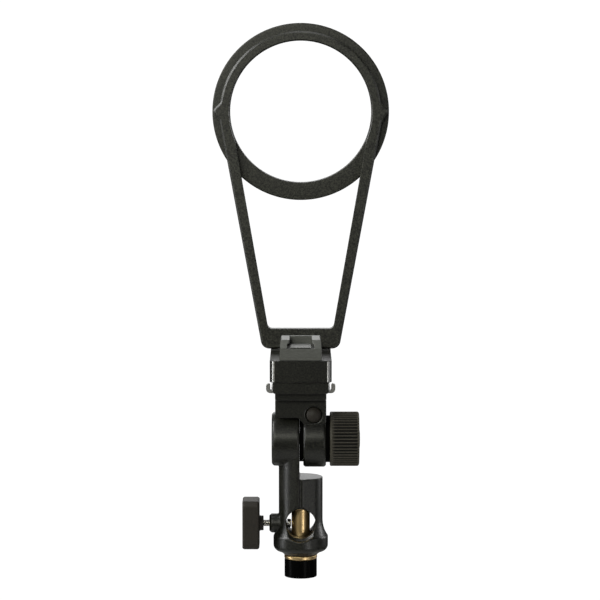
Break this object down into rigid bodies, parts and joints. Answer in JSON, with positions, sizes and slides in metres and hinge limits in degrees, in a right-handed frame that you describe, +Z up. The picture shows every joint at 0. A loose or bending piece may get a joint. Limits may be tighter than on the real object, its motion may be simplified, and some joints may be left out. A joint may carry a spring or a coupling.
{
  "type": "flash softbox bracket",
  "caption": "Tilting flash bracket for a light stand: ring on a tapered yoke, flash shoe on a slide rail, ribbed tilt knob, spigot receiver with T knob.",
  "frame": {"origin": "centre of the stand tube's cut lower end, on the spigot's flush lower face", "axes": "+Z up along the stand tube and spigot, -Y towards the flash shoe's open end, +Y towards the softbox ring, +X towards the tilt knob"},
  "size_m": [0.1262, 0.0863, 0.3907],
  "materials": {
    "cast_black": "matte",
    "frame_black": "matte",
    "satin_grey": "satin",
    "knob_plastic": "matte",
    "tube_black": "gloss",
    "brass": "polished",
    "steel": "satin",
    "dark_steel": "satin",
    "rail_metal": "satin",
    "nylon": "matte"
  },
  "bodies": {
    "stand": {"stand_tube": "tube_black", "spigot": "brass"},
    "receiver": {"receiver_body": "cast_black", "lock_bush": "brass", "tilt_bolt": "steel", "cheek_cap": "cast_black", "friction_disc": "nylon"},
    "lock_pad": {"lock_pad": "steel"},
    "lock_knob": {"lock_knob": "knob_plastic", "lock_screw": "steel"},
    "thrust_washer": {"thrust_washer": "nylon"},
    "tilt_knob": {"tilt_knob": "knob_plastic", "tilt_knob_insert": "brass", "tilt_knob_cap": "knob_plastic"},
    "tilt_head": {"tilt_arm": "cast_black", "button_plug": "dark_steel", "button_spring": "steel", "rail_base": "cast_black", "rail_screw_1": "dark_steel", "rail_screw_2": "dark_steel", "rail_screw_3": "dark_steel", "rail_screw_4": "dark_steel", "friction_pad": "nylon", "guide_rail_left": "rail_metal", "guide_rail_right": "rail_metal"},
    "head": {"head_block": "cast_black", "flash_shoe": "satin_grey", "shoe_spring": "satin_grey", "shoe_screw_1": "dark_steel", "shoe_screw_2": "dark_steel", "yoke_frame": "frame_black", "yoke_screw_left": "dark_steel", "yoke_screw_right": "dark_steel", "softbox_ring": "frame_black", "ring_screw_left": "dark_steel", "ring_screw_right": "dark_steel"},
    "release_button": {"release_button": "knob_plastic"},
    "latch_pin": {"latch_pin": "steel", "latch_cross_pin": "steel"}
  },
  "joints": [
    {"name": "pan", "type": "hinge", "parent": "stand", "child": "receiver", "pos_m": [0, 0, 0.03], "axis": [0, 0, 1], "continuous": true},
    {"name": "lock_pad_travel", "type": "slide", "parent": "receiver", "child": "lock_pad", "axis": [-1, 0, 0], "range_m": [0, 0.0016]},
    {"name": "lock_knob_turn", "type": "hinge", "parent": "lock_pad", "child": "lock_knob", "pos_m": [0, 0, 0.0379], "axis": [-1, 0, 0], "range_deg": [0, 720]},
    {"name": "thrust_washer_travel", "type": "slide", "parent": "receiver", "child": "thrust_washer", "axis": [1, 0, 0], "range_m": [0, 0.00125]},
    {"name": "tilt_knob_turn", "type": "hinge", "parent": "thrust_washer", "child": "tilt_knob", "pos_m": [0, 0, 0.0981], "axis": [1, 0, 0], "range_deg": [0, 360]},
    {"name": "tilt", "type": "hinge", "parent": "receiver", "child": "tilt_head", "pos_m": [0, 0, 0.0981], "axis": [1, 0, 0], "range_deg": [-90, 90]},
    {"name": "head_slide", "type": "slide", "parent": "tilt_head", "child": "head", "axis": [0, 1, 0], "range_m": [-0.008, 0.008]},
    {"name": "button_press", "type": "slide", "parent": "tilt_head", "child": "release_button", "axis": [0, 1, 0], "range_m": [0, 0.003], "stiffness_N_per_m": 400, "springref_m": -0.003, "deforming": ["button_spring"]},
    {"name": "latch_drop", "type": "slide", "parent": "tilt_head", "child": "latch_pin", "axis": [0, 0, -1], "range_m": [0, 0.003]}
  ],
  "couplings": [
    {"joint": "lock_knob_turn", "follows": "lock_pad_travel", "rad_per_m": 7850},
    {"joint": "tilt_knob_turn", "follows": "thrust_washer_travel", "rad_per_m": 5026},
    {"joint": "latch_drop", "follows": "button_press", "ratio": 1}
  ]
}
